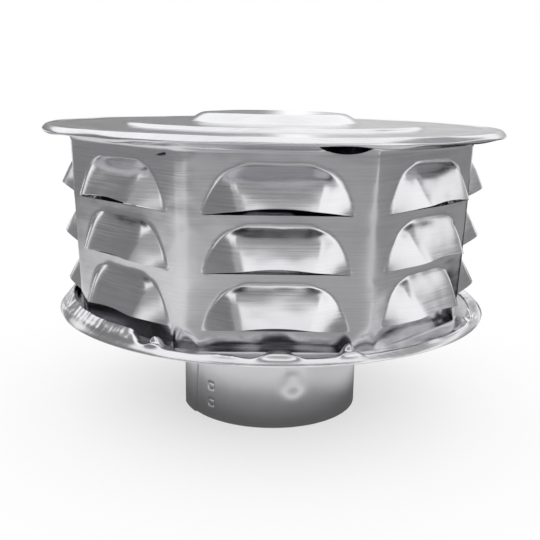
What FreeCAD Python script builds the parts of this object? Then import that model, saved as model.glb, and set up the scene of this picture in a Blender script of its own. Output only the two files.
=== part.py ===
"""Louvred vent cap of sheet aluminium: an octagonal drum between two pressed discs.

Millimetres, +Z up. The origin is the centre of the collar's lower edge, on which the cap stands.
The front face of the octagon looks along -Y. The four pieces are folded and seamed together:
a louvred band with flared edges, a top plate and a base pan rolled over those edges, and a
collar that hooks into the pan's hole.
"""
import FreeCAD, Part
import math
import os
from FreeCAD import Placement, Rotation, Vector

# Driving dimensions

sheet = 0.5                     # thickness of every sheet
seam_gap = 0.1                  # clearance between sheets folded over each other

collar_radius = 38.1            # outside of the collar, three inch size
collar_drop = 46.0              # from the collar's lower edge to the base pan's underside
collar_hem = 6.0                # width of the edge turned out over the pan
collar_hole_gap = 0.15          # between the collar and the pan's hole
stop_bead_reach = 1.6           # how far the stop bead stands out
stop_bead_height = 4.0          # height of the stop bead
collar_seam_angle = -57.0       # middle of the lap seam, in degrees to the right of the front
collar_seam_lap = 12.0          # width of the lap
clinch_angle = -51.0            # pressed buttons that lock the lap
clinch_radius = 1.7
clinch_depth = 0.35
clinch_heights = (7.0, 13.5)    # above the collar's lower edge
dent_angle = 17.0               # locating dent pressed into the collar's front
dent_depth = 1.2
dent_round = 10.0               # radius of the punch that presses it
dent_low = 18.0                 # punch centre at its lower end
dent_high = 32.0                # punch centre at its upper end

pan_radius = 92.0               # outside of the pan's rolled rim
pan_rim = 2.6                   # thickness of that rim
pan_hem = 5.6                   # width of the hem that lies over the band's foot
disc_step = 1.2                 # stiffening step pressed into both discs
disc_step_radius = 65.0         # radius at the foot of that step
disc_step_run = 2.0             # width of its slope

plate_radius = 96.2             # outside of the top plate's rolled rim
plate_rim = 2.2                 # thickness of that rim
plate_hem = 5.0                 # width of the hem under the band's flare
rim_corner = 0.3                # share of a rim's thickness that its corners are cut off by
centre_height = 4.2             # raised middle of the top plate
centre_radius = 30.0            # flat top of the raised middle
centre_run = 6.5                # width of its slope
centre_bend = 3.0               # bend radius of the raised middle

faces = 8                       # sides of the drum
foot_flats = 156.0              # across the flats at the foot
top_flats = 161.0               # across the flats at the top
drum_height = 76.4              # from the pan's floor to the top plate's upper face
corner_bend = 9.0               # outside radius of the drum's corners
flare_rise = 2.2                # height of the sloped flare under the top plate
flare_clear = 0.4               # from the end of the slope to the plate's hem
flange_tuck = 3.4               # how far a flat flange reaches into a rolled rim
dart_width = 6.0                # darts that gather the sheet at the feet of the corners
dart_height = 7.2
dart_depth = 1.6

rows = 3                        # rows of louvres
row_pitch = 20.6                # from slit to slit
first_slit = 7.8                # lowest slit above the band's foot
slit_length = 52.6              # cut length of a slit
hood_height = 16.5              # from the slit to the top of the hood
hood_reach = 11.0               # how far the lip stands out
hood_top = 38.0                 # width of the hood's top edge before its shoulders are rounded
hood_lip = 22.5                 # width of the straight middle of the lip
shoulder_bend = 18.0            # outside radius of the hood's ridges at the shoulders
lip_bend = 4.0                  # the same at the lip
root_bend = 2.0                 # outside radius where the hood leaves the wall
hood_margin = 2.0               # plain sheet kept round each hood
lip_lift = 3.0                  # rise of the lip's arched middle above the slit

band_lap = 10.0                 # width of the band's lap seam
band_seam_corner = 7            # the corner with the seam, counted from the front face's right
lock_slot_length = 5.5          # slot that the lap seam's tab hooks through
lock_slot_height = 1.1
lock_slot_inset = 7.0           # from the corner to the slot
lock_slot_drop = 1.6            # from the top of the wall to the slot

# Levels and radii that follow

pan_floor = collar_drop + sheet             # upper face of the pan under the band
pan_inner_floor = pan_floor + disc_step     # upper face of the pan around the collar
foot = pan_floor + seam_gap                 # underside of the band's foot flange
pan_hem_top = foot + 2 * sheet + seam_gap   # upper face of the pan's hem at its free edge
pan_hole = collar_radius + collar_hole_gap
pan_hem_edge = pan_radius - pan_hem
foot_flange_radius = pan_hem_edge + flange_tuck
plate_top = pan_floor + drum_height         # upper face of the top plate's border
plate_underside = plate_top - plate_rim     # underside of its rolled rim
plate_hem_edge = plate_radius - plate_hem
top_flange_low = plate_underside + sheet + seam_gap
top_flange_radius = plate_hem_edge + flange_tuck
flare_radius = plate_hem_edge - flare_clear
wall_top = top_flange_low - flare_rise
half_angle = math.pi / faces
wall_lean = math.atan2((top_flats - foot_flats) / 2, wall_top - foot)
up = Vector(0, 0, 1)


def flats_at(z):
    """Distance across the flats of the leaning wall at height z."""
    return foot_flats + 2 * (z - foot) * math.tan(wall_lean)


def rounded_path(points, bends):
    """Open path through (r, z) points in the XZ plane, with bend radii at some of them."""
    spots = [Vector(r, 0, z) for r, z in points]
    edges = []
    start = spots[0]
    for i in range(1, len(spots) - 1):
        before, corner, after = spots[i - 1:i + 2]
        if i not in bends:
            edges.append(Part.makeLine(start, corner))
            start = corner
            continue
        radius = bends[i]
        back = (before - corner).normalize()
        onward = (after - corner).normalize()
        half = back.getAngle(onward) / 2
        inset = radius / math.tan(half)
        first = corner + back * inset
        last = corner + onward * inset
        middle = corner + (back + onward).normalize() * (radius / math.sin(half) - radius)
        edges.append(Part.makeLine(start, first))
        edges.append(Part.Arc(first, middle, last).toShape())
        start = last
    edges.append(Part.makeLine(start, spots[-1]))
    return Part.Wire(edges)


def turned_sheet(points, bends=(), side=1):
    """Sheet turned about Z: one skin follows the path, the other lies to its left or right."""
    path = rounded_path(points, bends)
    section = path.makeOffset2D(side * sheet, 2, True, True)
    return section.revolve(Vector(0, 0, 0), up, 360)


def closed_solid(loops):
    """Solid closed by flat faces, each a loop of points that runs the same way round."""
    walls = [Part.Face(Part.makePolygon(list(loop) + [loop[0]])) for loop in loops]
    solid = Part.makeSolid(Part.makeShell(walls))
    if solid.Volume < 0:
        solid.reverse()
    return solid


def ring_of_corners(flats, z):
    """Corners of a regular polygon with one side facing -Y, at height z."""
    reach = flats / 2 / math.cos(half_angle)
    angles = [half_angle * (2 * k - 1) - math.pi / 2 for k in range(faces)]
    return [Vector(reach * math.cos(a), reach * math.sin(a), z) for a in angles]


def drum_wall(inset, low, high):
    """Solid within one skin of the leaning octagonal wall, its corners bent round."""
    shrink = 2 * inset / math.cos(wall_lean)
    bottom = ring_of_corners(flats_at(low) - shrink, low)
    top = ring_of_corners(flats_at(high) - shrink, high)
    loops = [bottom[::-1], top]
    for k in range(faces):
        after = (k + 1) % faces
        loops.append([bottom[k], bottom[after], top[after], top[k]])
    solid = closed_solid(loops)
    corners = [e for e in solid.Edges if abs(e.Vertexes[0].Point.z - e.Vertexes[1].Point.z) > 1]
    return solid.makeFillet(corner_bend - inset, corners)


def matched_circle(wire, radius, z):
    """Circle cut into arcs that pair with a wire's edges, for a loft between the two."""
    edges = []
    for edge in wire.OrderedEdges:
        ends = [edge.valueAt(p) for p in (edge.FirstParameter, edge.LastParameter)]
        if edge.Orientation == "Reversed":
            ends.reverse()
        start, end = [math.atan2(p.y, p.x) for p in ends]
        turn = (end - start + math.pi) % (2 * math.pi) - math.pi
        angles = (start, start + turn / 2, start + turn)
        spots = [Vector(radius * math.cos(a), radius * math.sin(a), z) for a in angles]
        edges.append(Part.Arc(*spots).toShape())
    return Part.Wire(edges)


def drum_body(inset, low, flare_low, flare_high, rim_radius, high):
    """Solid within one skin of the drum: leaning octagon, sloped flare and round neck."""
    wall = drum_wall(inset, low, flare_low)
    lid = max(wall.Faces, key=lambda face: face.CenterOfMass.z)
    rim = matched_circle(lid.OuterWire, rim_radius, flare_high)
    flare = Part.makeLoft([lid.OuterWire, rim], True, True)
    neck = Part.makeCylinder(rim_radius, high - flare_high, Vector(0, 0, flare_high))
    return wall.fuse([flare, neck])


def foot_dart(k, extra):
    """Dart pressed into the foot of corner k: a wedge that narrows to a point above."""
    corner = flats_at(foot) / 2 / math.cos(half_angle)
    skin = corner - corner_bend * (1 / math.cos(half_angle) - 1)
    half = dart_width / 2 + extra
    outside = skin + dart_depth
    below = foot - dart_depth
    base = [Vector(skin - dart_depth - extra, 0, below), Vector(outside, half * 2, below),
            Vector(outside, -half * 2, below)]
    tip = Vector(skin + dart_height * math.tan(wall_lean), 0, foot + dart_height + extra)
    loops = [base[::-1]] + [[base[i], base[(i + 1) % 3], tip] for i in range(3)]
    solid = closed_solid(loops)
    solid.rotate(Vector(0, 0, 0), up, math.degrees(half_angle * (2 * k + 1)) - 90)
    return solid


def capsule(radius, low, high, distance, angle):
    """Upright round-ended punch whose axis stands at a distance from the middle."""
    length = high - low
    form = Part.makeCylinder(radius, length, Vector(0, 0, low))
    ends = [Part.makeSphere(radius, Vector(0, 0, z)) for z in (low, high)]
    form = form.fuse(ends).removeSplitter()
    form.translate(Vector(0, -distance, 0))
    form.rotate(Vector(0, 0, 0), up, angle)
    return form


def meet(*planes):
    """Point where three planes meet, each given as a unit normal and its distance."""
    (a, i), (b, j), (c, k) = planes
    return (b.cross(c) * i + c.cross(a) * j + a.cross(b) * k) / a.dot(b.cross(c))


def hood_form(inset, back, below):
    """Closed form of a hood, x along the slit, y up the wall and z out of it.

    A sloped front runs down between two cheeks. The inset moves front and cheeks inwards, back
    is the level of the rear face, and the form runs on a little below the slit.
    """
    slit_end = Vector(slit_length / 2, 0, 0)
    shoulder = Vector(hood_top / 2, hood_height, 0)
    ridge = Vector(hood_lip / 2, 0, hood_reach)
    front = Vector(0, hood_reach, hood_height).normalize()
    cheek = (shoulder - slit_end).cross(ridge - slit_end)
    cheek = cheek.normalize() * (1 if cheek.x > 0 else -1)
    front_plane = (front, front.dot(ridge) - inset)
    cheek_plane = (cheek, cheek.dot(ridge) - inset)
    rear_plane = (Vector(0, 0, 1), back)
    lower_plane = (Vector(0, 1, 0), -below)
    b = meet(cheek_plane, rear_plane, lower_plane)
    d = meet(cheek_plane, rear_plane, front_plane)
    f = meet(cheek_plane, front_plane, lower_plane)
    a, c, e = [Vector(-p.x, p.y, p.z) for p in (b, d, f)]
    loops = ((a, b, f, e), (e, f, d, c), (a, e, c), (b, d, f), (a, c, d, b))
    return closed_solid(loops)


def is_level(edge, z):
    """Whether an edge lies at the height z from end to end."""
    return all(abs(v.Point.z - z) < 1e-6 for v in edge.Vertexes)


def hood_on_base(inset, level):
    """Hood form on a flat base at a level, its ridges rounded, and its root too if outermost."""
    below = 1.0                             # run on below the slit, cut off later
    plain = 4 * hood_margin                 # flat sheet round the hood while it is shaped
    across = slit_length + 2 * plain
    along = hood_height + plain
    depth = 2 * hood_reach
    base = Part.makeBox(across, along + below, depth, Vector(-across / 2, -below, level - depth))
    body = base.fuse(hood_form(inset, level - sheet, below)).removeSplitter()

    def form_edges(level_ones):
        chosen = []
        for edge in body.Edges:
            spots = [v.Point for v in edge.Vertexes]
            inside = all(abs(p.x) < across / 2 - 1e-3 and p.y < along - 1e-3 for p in spots)
            cut_off = all(p.y < -below + 1e-3 for p in spots)
            if inside and not cut_off and is_level(edge, level) == level_ones:
                chosen.append(edge)
        return chosen

    for side in (-1, 1):
        ridge = [e for e in form_edges(False) if e.CenterOfMass.x * side > hood_lip / 4]
        radii = [lip_bend - inset, shoulder_bend - inset]
        if ridge[0].valueAt(ridge[0].FirstParameter).y > 0:
            radii.reverse()
        body = body.makeFillet(radii[0], radii[1], ridge)
    return body if inset else body.makeFillet(root_bend, form_edges(True))


def hood_patch():
    """Pressed sheet of one louvre with the plain margin round it, in hood_form's axes."""
    outer = hood_on_base(0, 0)
    inner = hood_on_base(sheet, -sheet)
    across = slit_length + 2 * hood_margin
    height = hood_height + hood_margin
    room = Part.makeBox(across, height, 2 * hood_reach, Vector(-across / 2, 0, -sheet))
    patch = outer.cut(inner).common(room)
    half_slit = slit_length / 2
    spots = (Vector(-half_slit, 0, 0), Vector(0, lip_lift, 0), Vector(half_slit, 0, 0))
    arch = Part.Arc(*spots).toShape()
    chord = Part.makeLine(spots[2], spots[0])
    lens = Part.Face(Part.Wire([arch, chord])).extrude(Vector(0, 0, 2 * hood_reach))
    return patch.cut(lens).Solids[0], room


def on_face(shape, k, z, across=0.0):
    """Copy of a shape laid on face k of the drum, its y up the leaning wall from height z."""
    lean = Rotation(Vector(1, 0, 0), 90 + math.degrees(wall_lean))
    turn = Rotation(up, math.degrees(2 * half_angle * k))
    place = turn.multVec(Vector(across, -flats_at(z) / 2, z))
    laid = shape.copy()
    laid.Placement = Placement(place, turn.multiply(lean)).multiply(shape.Placement)
    return laid


def louvre_band():
    """Body strip: leaning octagon, louvres, lap seam, foot flange and flared upper edge."""
    flare_slope = math.atan2(flare_rise, flare_radius - flats_at(wall_top) / 2)
    waist_rise = sheet * math.tan((math.pi / 2 - flare_slope) / 2)
    rim_shift = sheet * math.tan(flare_slope / 2)
    past = 5.0                              # inner space runs past both open ends
    outer = drum_body(0, foot, wall_top, top_flange_low, flare_radius, top_flange_low + sheet)
    inner = drum_body(sheet, foot - past, wall_top + waist_rise, top_flange_low + sheet,
                      flare_radius - rim_shift, top_flange_low + past)
    foot_flange = Part.makeCylinder(foot_flange_radius, sheet, Vector(0, 0, foot))
    top_flange = Part.makeCylinder(top_flange_radius, sheet, Vector(0, 0, top_flange_low))
    outer = outer.cut([foot_dart(k, 0) for k in range(faces)])
    inner = inner.cut([foot_dart(k, sheet) for k in range(faces)])
    outer = outer.fuse([foot_flange, top_flange])
    band = outer.cut(inner)
    patch, room = hood_patch()
    room = room.copy()
    places = [(k, foot + first_slit + row * row_pitch) for k in range(faces) for row in range(rows)]
    band = band.cut([on_face(room, k, z) for k, z in places])
    slot = Part.makeBox(lock_slot_length, lock_slot_height, 4 * sheet,
                        Vector(-lock_slot_length / 2, 0, -2 * sheet))
    to_slot = foot_flats / 2 * math.tan(half_angle) - lock_slot_inset
    band = band.cut(on_face(slot, band_seam_corner, wall_top - lock_slot_drop, to_slot))
    lap = drum_wall(sheet, foot, wall_top).cut(drum_wall(2 * sheet, foot, wall_top))
    strip = Part.makeBox(band_lap, top_flats, drum_height,
                         Vector(-band_lap / 2, -top_flats, foot + dart_height + sheet))
    strip.rotate(Vector(0, 0, 0), up, math.degrees(half_angle * (2 * band_seam_corner + 1)))
    patches = [on_face(patch, k, z) for k, z in places]
    return band.fuse(patches + [lap.common(strip)]).removeSplitter()


def rolled_rim(radius, low, high):
    """Outer skin of a rolled rim, from its underside round to its top, its corners cut off."""
    cut = rim_corner * (high - low)
    return [(radius - cut, low), (radius, low + cut), (radius, high - cut), (radius - cut, high)]


def top_plate():
    """Lid: raised middle, stiffening step and an edge rolled under the drum's flare."""
    step_top = plate_top + disc_step
    points = [
        (0, step_top + centre_height),
        (centre_radius, step_top + centre_height),
        (centre_radius + centre_run, step_top),
        (disc_step_radius - disc_step_run, step_top),
        (disc_step_radius, plate_top),
    ]
    points += rolled_rim(plate_radius, plate_underside, plate_top)[::-1]
    points.append((plate_hem_edge, plate_underside))
    return turned_sheet(points, {1: centre_bend, 2: centre_bend}, -1)


def base_pan():
    """Bottom: centre hole, stiffening step and an edge rolled over the drum's foot."""
    points = [
        (pan_hole, pan_inner_floor - sheet),
        (disc_step_radius - disc_step_run, pan_inner_floor - sheet),
        (disc_step_radius, collar_drop),
    ]
    points += rolled_rim(pan_radius, collar_drop, collar_drop + pan_rim)
    points.append((pan_hem_edge, pan_hem_top))
    return turned_sheet(points)


def flue_collar():
    """Collar: lapped tube with a stop bead, a locating dent and an edge turned over the pan."""
    hem_low = pan_inner_floor + seam_gap
    bead_top = pan_inner_floor - sheet - seam_gap
    bead_low = bead_top - stop_bead_height
    points = (
        (collar_radius, 0),
        (collar_radius, bead_low),
        (collar_radius + stop_bead_reach, (bead_low + bead_top) / 2),
        (collar_radius, bead_top),
        (collar_radius, hem_low),
        (collar_radius + collar_hem, hem_low),
    )
    collar = turned_sheet(points)
    lap_angle = math.degrees(collar_seam_lap / collar_radius)
    lap_height = bead_low - stop_bead_reach
    lap = Part.makeCylinder(collar_radius - sheet, lap_height, Vector(0, 0, 0), up, lap_angle)
    lap = lap.cut(Part.makeCylinder(collar_radius - 2 * sheet, lap_height))
    lap.rotate(Vector(0, 0, 0), up, collar_seam_angle - lap_angle / 2 - 90)
    dent_axis = collar_radius - dent_depth + dent_round
    punch = capsule(dent_round, dent_low, dent_high, dent_axis, dent_angle)
    dish = capsule(dent_round + sheet, dent_low, dent_high, dent_axis, dent_angle).cut(punch)
    dish = dish.common(Part.makeCylinder(collar_radius, bead_low))
    buttons = []
    dimples = []
    for height in clinch_heights:
        inner_end = collar_radius - 2 * sheet - clinch_depth
        for start, length, group in ((inner_end, sheet + clinch_depth, buttons),
                                     (collar_radius - clinch_depth, 2 * clinch_depth, dimples)):
            plug = Part.makeCylinder(clinch_radius, length, Vector(start, 0, height),
                                     Vector(1, 0, 0))
            plug.rotate(Vector(0, 0, 0), up, clinch_angle - 90)
            group.append(plug)
    return collar.cut(punch).fuse([lap, dish] + buttons).cut(dimples).removeSplitter()


def main():
    os.makedirs("parts", exist_ok=True)
    pieces = {
        "top_plate": top_plate(),
        "louvre_band": louvre_band(),
        "base_pan": base_pan(),
        "flue_collar": flue_collar(),
    }
    for name, shape in pieces.items():
        box = shape.optimalBoundingBox(True, False)
        state = "valid" if shape.isValid() else "not valid"
        print(f"{name}: {state}, {len(shape.Solids)} solid, {shape.Volume:.0f} mm3,",
              f"{box.XLength:.1f} x {box.YLength:.1f} mm, z {box.ZMin:.1f} to {box.ZMax:.1f}")
        shape.exportStep("parts/" + name + ".step")


main()
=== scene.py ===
# %% [markdown]
# # A louvred vent cap in folded aluminium
# The cap is four pieces of thin sheet, folded over each other like a tin can: a top plate, a louvred band,
# a base pan and a round collar that drops into the flue pipe. The measured model of those pieces is loaded
# first. It gives the frame that the looks are built in.

# %% Load the measured frame
import math

import bpy
from mathutils import Matrix, Vector


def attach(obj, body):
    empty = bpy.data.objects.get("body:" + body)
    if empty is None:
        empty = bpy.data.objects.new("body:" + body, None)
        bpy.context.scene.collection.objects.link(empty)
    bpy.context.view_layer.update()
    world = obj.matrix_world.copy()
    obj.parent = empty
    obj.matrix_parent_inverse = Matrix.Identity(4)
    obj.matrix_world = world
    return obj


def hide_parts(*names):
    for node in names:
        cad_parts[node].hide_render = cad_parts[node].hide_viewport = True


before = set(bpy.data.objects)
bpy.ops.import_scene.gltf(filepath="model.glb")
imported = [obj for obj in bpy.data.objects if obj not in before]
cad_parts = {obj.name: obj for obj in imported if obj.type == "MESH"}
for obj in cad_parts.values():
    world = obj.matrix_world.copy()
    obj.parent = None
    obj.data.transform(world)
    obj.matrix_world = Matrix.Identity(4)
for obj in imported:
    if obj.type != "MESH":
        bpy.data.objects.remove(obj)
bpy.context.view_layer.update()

MM = 0.001

# %% [markdown]
# ## Camera
# A product photo of a low, wide thing is taken from a little above its top, so that the plate shows as a
# thin ellipse. A camera could be aimed with a constraint, but three plain turns say the same and stay
# readable: pitch down, turn towards the object, and the small roll of a camera held by hand.

# %% Put the camera at the photograph's viewpoint
CAMERA_PLACE = Vector((-7.94, -339.38, 137.88)) * MM
CAMERA_TURN = math.radians(1.22)        # to the right of straight ahead
CAMERA_PITCH = math.radians(-13.12)     # below the horizon
CAMERA_ROLL = math.radians(0.99)
LENS, SENSOR = 51.97, 36.0              # mm, the sensor's being its width
NEAREST = 0.01                          # m; what is closer to the camera isn't drawn

aim = (Matrix.Rotation(-CAMERA_TURN, 3, "Z") @ Matrix.Rotation(math.pi / 2 + CAMERA_PITCH, 3, "X")
       @ Matrix.Rotation(CAMERA_ROLL, 3, "Z"))
bpy.ops.object.camera_add(location=CAMERA_PLACE, rotation=aim.to_euler())
camera = bpy.context.object
camera.data.lens = LENS
camera.data.sensor_width = SENSOR
camera.data.clip_start = NEAREST
bpy.context.scene.camera = camera
bpy.context.scene.view_settings.view_transform = "Standard"
print("camera at", [round(v / MM) for v in camera.location], "mm")

# %% [markdown]
# ## Helpers for materials
# Colours are picked as they look on a screen, and the renderer works with linear light, so one function
# turns a hex colour to linear. One more adds a node, sets it up and links it, which keeps each material
# down to the few lines that matter.

# %% Colour and node helpers
def linear(hex_colour):
    """Linear RGBA of an sRGB hex colour."""
    parts = [int(hex_colour[i:i + 2], 16) / 255 for i in (1, 3, 5)]
    return (*[p / 12.92 if p <= 0.04045 else ((p + 0.055) / 1.055) ** 2.4 for p in parts], 1.0)


def add(tree, kind, settings=None, **inputs):
    """Add a node, set its settings, and give each input a value or a link.

    An input goes by its name, with underscores for spaces, or by its number, as i0 or i1.
    """
    node = tree.nodes.new(kind)
    for name, value in (settings or {}).items():
        setattr(node, name, value)
    for name, value in inputs.items():
        key = int(name[1:]) if name[0] == "i" and name[1:].isdigit() else name.replace("_", " ")
        if isinstance(value, bpy.types.NodeSocket):
            tree.links.new(value, node.inputs[key])
        else:
            node.inputs[key].default_value = value
    return node


def new_material(name):
    """Empty node material, its tree and its output node."""
    material = bpy.data.materials.new(name)
    material.use_nodes = True
    material.node_tree.nodes.clear()
    return material, material.node_tree, material.node_tree.nodes.new("ShaderNodeOutputMaterial")


# %% [markdown]
# ## The set
# Bright metal has almost no colour of its own: it looks like what stands round it. A photographer gives it
# a white sweep to sit on, soft light from above, and grey cards elsewhere, so that its folds read dark and
# light. Real cards would have to stay out of the picture; the ones here are seen only in the metal, so they
# can stand where they work best, and the background stays plain white.

# %% World: white where it is seen or mirrored, soft fill for the rest
WHITE = linear("#ffffff")
FILL_STRENGTH = 0.9
MIRRORED_GAIN = 0.2                     # the sweep is this much brighter where the metal mirrors it


def seen_or_mirrored(tree):
    """Light Path node, and a socket that is 1 where the camera, metal or glass looks, and 0 elsewhere."""
    path = add(tree, "ShaderNodeLightPath")
    seen = path.outputs["Is Camera Ray"]
    for kind in ("Is Glossy Ray", "Is Transmission Ray"):
        either = add(tree, "ShaderNodeMath", {"operation": "MAXIMUM"}, i0=seen, i1=path.outputs[kind])
        seen = either.outputs[0]
    return path, seen


world = bpy.data.worlds.new("white studio")
bpy.context.scene.world = world
world.use_nodes = True
tree = world.node_tree
tree.nodes.clear()
path, seen = seen_or_mirrored(tree)
level = add(tree, "ShaderNodeMath", {"operation": "MULTIPLY_ADD"}, i0=path.outputs["Is Glossy Ray"],
            i1=MIRRORED_GAIN, i2=1.0)
backdrop = add(tree, "ShaderNodeBackground", Color=WHITE, Strength=level.outputs[0])
fill = add(tree, "ShaderNodeBackground", Color=WHITE, Strength=FILL_STRENGTH)
mixed = add(tree, "ShaderNodeMixShader", i0=seen, i1=fill.outputs[0], i2=backdrop.outputs[0])
add(tree, "ShaderNodeOutputWorld", Surface=mixed.outputs[0])
print("world: 1 where the camera looks,", 1 + MIRRORED_GAIN, "in the metal,", FILL_STRENGTH, "as a fill")

# %% Floor: pale matt paper that fades to the white backdrop
FLOOR_SIZE = 12.0
PAPER = linear("#fbfbfb")
PAPER_ROUGHNESS = 0.5
FADE_START = -0.12                      # m; below 0, so that it is part faded even under the cap
FADE_END = 0.20                         # m from the axis, where the paper is the backdrop's white

material, tree, output = new_material("matt white background paper")
paper = add(tree, "ShaderNodeBsdfDiffuse", Color=PAPER, Roughness=PAPER_ROUGHNESS)
glow = add(tree, "ShaderNodeEmission", Color=WHITE, Strength=1.0)
place = add(tree, "ShaderNodeTexCoord")
distance = add(tree, "ShaderNodeVectorMath", {"operation": "LENGTH"}, i0=place.outputs["Object"])
fade = add(tree, "ShaderNodeMapRange", {"interpolation_type": "SMOOTHSTEP"},
           Value=distance.outputs["Value"], From_Min=FADE_START, From_Max=FADE_END)
path, seen = seen_or_mirrored(tree)
share = add(tree, "ShaderNodeMath", {"operation": "MULTIPLY"}, i0=fade.outputs[0], i1=seen)
mixed = add(tree, "ShaderNodeMixShader", i0=share.outputs[0], i1=paper.outputs[0], i2=glow.outputs[0])
tree.links.new(mixed.outputs[0], output.inputs["Surface"])

bpy.ops.mesh.primitive_plane_add(size=FLOOR_SIZE, location=(0, 0, 0))
floor = bpy.context.object
floor.name = "floor"
floor.data.materials.append(material)
print("floor", FLOOR_SIZE, "m wide")

# %% Cards: greys that only the metal sees
EDGE = 0.5                              # half of the unit plane that a card is scaled from


def only_mirrored(piece):
    """Hide a card from everything but mirrored rays."""
    piece.visible_camera = False
    piece.visible_diffuse = False
    piece.visible_shadow = False
    piece.visible_transmission = False


def card(name, grey, size, place, turn, soft):
    """Flat grey card, in metres and degrees, with an edge that fades out over a soft width."""
    material, tree, output = new_material(name)
    spot = add(tree, "ShaderNodeSeparateXYZ", Vector=add(tree, "ShaderNodeTexCoord").outputs["Object"])
    shares = []
    for axis, length in (("X", size[0]), ("Y", size[1])):
        off = add(tree, "ShaderNodeMath", {"operation": "ABSOLUTE"}, i0=spot.outputs[axis])
        shares.append(add(tree, "ShaderNodeMapRange", {"interpolation_type": "SMOOTHSTEP"},
                          Value=off.outputs[0], From_Min=EDGE, From_Max=EDGE - min(EDGE, soft / length)))
    cover = add(tree, "ShaderNodeMath", {"operation": "MULTIPLY"}, i0=shares[0].outputs[0],
                i1=shares[1].outputs[0])
    clear = add(tree, "ShaderNodeBsdfTransparent")
    paint = add(tree, "ShaderNodeEmission", Color=(grey, grey, grey, 1.0), Strength=1.0)
    edged = add(tree, "ShaderNodeMixShader", i0=cover.outputs[0], i1=clear.outputs[0], i2=paint.outputs[0])
    tree.links.new(edged.outputs[0], output.inputs["Surface"])
    bpy.ops.mesh.primitive_plane_add(size=2 * EDGE, location=place, rotation=[math.radians(a) for a in turn])
    piece = bpy.context.object
    piece.name = name
    piece.scale = (*size, 1)
    piece.data.materials.append(material)
    only_mirrored(piece)
    print(name, "of tone", grey, "and", size[0], "by", size[1], "m")


# The wall leans out as it rises, so it mirrors the floor cards, and the hoods mirror the high ones.
card("ceiling_card", 0.36, (1.5, 0.53), (0.15, -0.725, 1.0), (0, 0, 0), 0.12)
card("left_card", 0.24, (0.95, 1.63), (-1.0, -0.29, 0.50), (0, 90, 0), 0.12)
card("front_card", 0.48, (1.1, 0.86), (0.0, -1.2, 0.43), (90, 0, 0), 0.16)
card("right_high_card", 0.42, (0.94, 1.4), (1.0, 0.25, 1.03), (0, 90, 0), 0.14)
card("right_low_card", 0.40, (0.52, 0.85), (1.0, 0.45, 0.26), (0, 90, 0), 0.15)
card("front_left_card", 0.42, (0.9, 0.9), (-0.78, -0.95, 0.80), (90, 0, -38), 0.18)
card("back_left_card", 0.21, (1.5, 0.36), (-0.70, 1.0, 0.29), (90, 0, 0), 0.05)
card("back_right_card", 0.52, (1.1, 0.30), (0.62, 1.0, 0.28), (90, 0, 0), 0.05)
card("front_floor_card", 0.41, (0.64, 0.96), (0.15, -0.585, 0.002), (0, 0, 0), 0.08)
card("right_floor_card", 0.34, (0.62, 0.62), (0.50, 0.03, 0.003), (0, 0, 0), 0.08)
card("right_near_floor_card", 0.65, (0.17, 0.26), (0.125, 0.01, 0.004), (0, 0, 0), 0.03)
card("left_corner_floor_card", 0.85, (0.72, 0.60), (-0.32, -0.29, 0.003), (0, 0, -50), 0.22)
card("right_corner_floor_card", 0.70, (0.36, 0.66), (0.39, -0.345, 0.005), (0, 0, 54), 0.13)
card("right_floor_flag", 0.02, (0.26, 0.95), (0.39, 0.42, 0.006), (0, 0, -35), 0.05)
card("rear_floor_flag", 0.05, (0.30, 1.10), (0.17, 0.80, 0.007), (0, 0, -12), 0.05)

# %% Horizon: the dark room round the table, open towards the backdrop
HORIZON_RADIUS = 1.0
HORIZON_TOP = 0.20
HORIZON_BACK = 0.62                     # m behind the axis, where it ends
HORIZON_GREY = (0.27, 0.27, 0.27, 1.0)

material, tree, output = new_material("dark room beyond the table")
paint = add(tree, "ShaderNodeEmission", Color=HORIZON_GREY, Strength=1.0)
tree.links.new(paint.outputs[0], output.inputs["Surface"])
bpy.ops.mesh.primitive_cylinder_add(vertices=64, radius=HORIZON_RADIUS, depth=HORIZON_TOP,
                                    end_fill_type="NOTHING", location=(0, 0, HORIZON_TOP / 2))
horizon = bpy.context.object
horizon.name = "horizon"
bpy.ops.object.mode_set(mode="EDIT")
bpy.ops.mesh.select_all(action="SELECT")
bpy.ops.mesh.bisect(plane_co=(0, HORIZON_BACK, 0), plane_no=(0, 1, 0), clear_outer=True)
bpy.ops.object.mode_set(mode="OBJECT")
horizon.data.materials.append(material)
only_mirrored(horizon)
print("horizon", len(horizon.data.polygons), "faces")

# %% Mat: the table in the metal, with the cap's shadow painted dark under it, pale round it and grey further out
MAT_HEIGHT = 0.0003                     # m, just over the paper
MAT_INNER = 0.03                        # radii of the mat, m
MAT_OUTER = 1.0
# The darkest tones, near the axis, are the cap's shadow on the table, painted into the mat.
MAT_TONES = (                           # radius in m, tone there
    (0.045, 0.12), (0.072, 0.28), (0.095, 0.80), (0.24, 0.85),
    (0.36, 0.52), (0.47, 0.38), (0.60, 0.24), (1.0, 0.27),
)

material, tree, output = new_material("grey table mat")
place = add(tree, "ShaderNodeTexCoord")
distance = add(tree, "ShaderNodeVectorMath", {"operation": "LENGTH"}, i0=place.outputs["Object"])
share = add(tree, "ShaderNodeMapRange", Value=distance.outputs["Value"], From_Min=0.0, From_Max=MAT_OUTER)
tones = add(tree, "ShaderNodeValToRGB", Fac=share.outputs[0])
stops = tones.color_ramp.elements
while len(stops) < len(MAT_TONES):
    stops.new(1.0)
for stop, (radius, tone) in zip(stops, MAT_TONES):
    stop.position = radius / MAT_OUTER
    stop.color = (tone, tone, tone, 1.0)
paint = add(tree, "ShaderNodeEmission", Color=tones.outputs[0], Strength=1.0)
tree.links.new(paint.outputs[0], output.inputs["Surface"])
bpy.ops.mesh.primitive_circle_add(vertices=96, radius=MAT_INNER, fill_type="NOTHING",
                                  location=(0, 0, MAT_HEIGHT))
mat = bpy.context.object
mat.name = "table_mat"
bpy.ops.object.mode_set(mode="EDIT")
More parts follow.
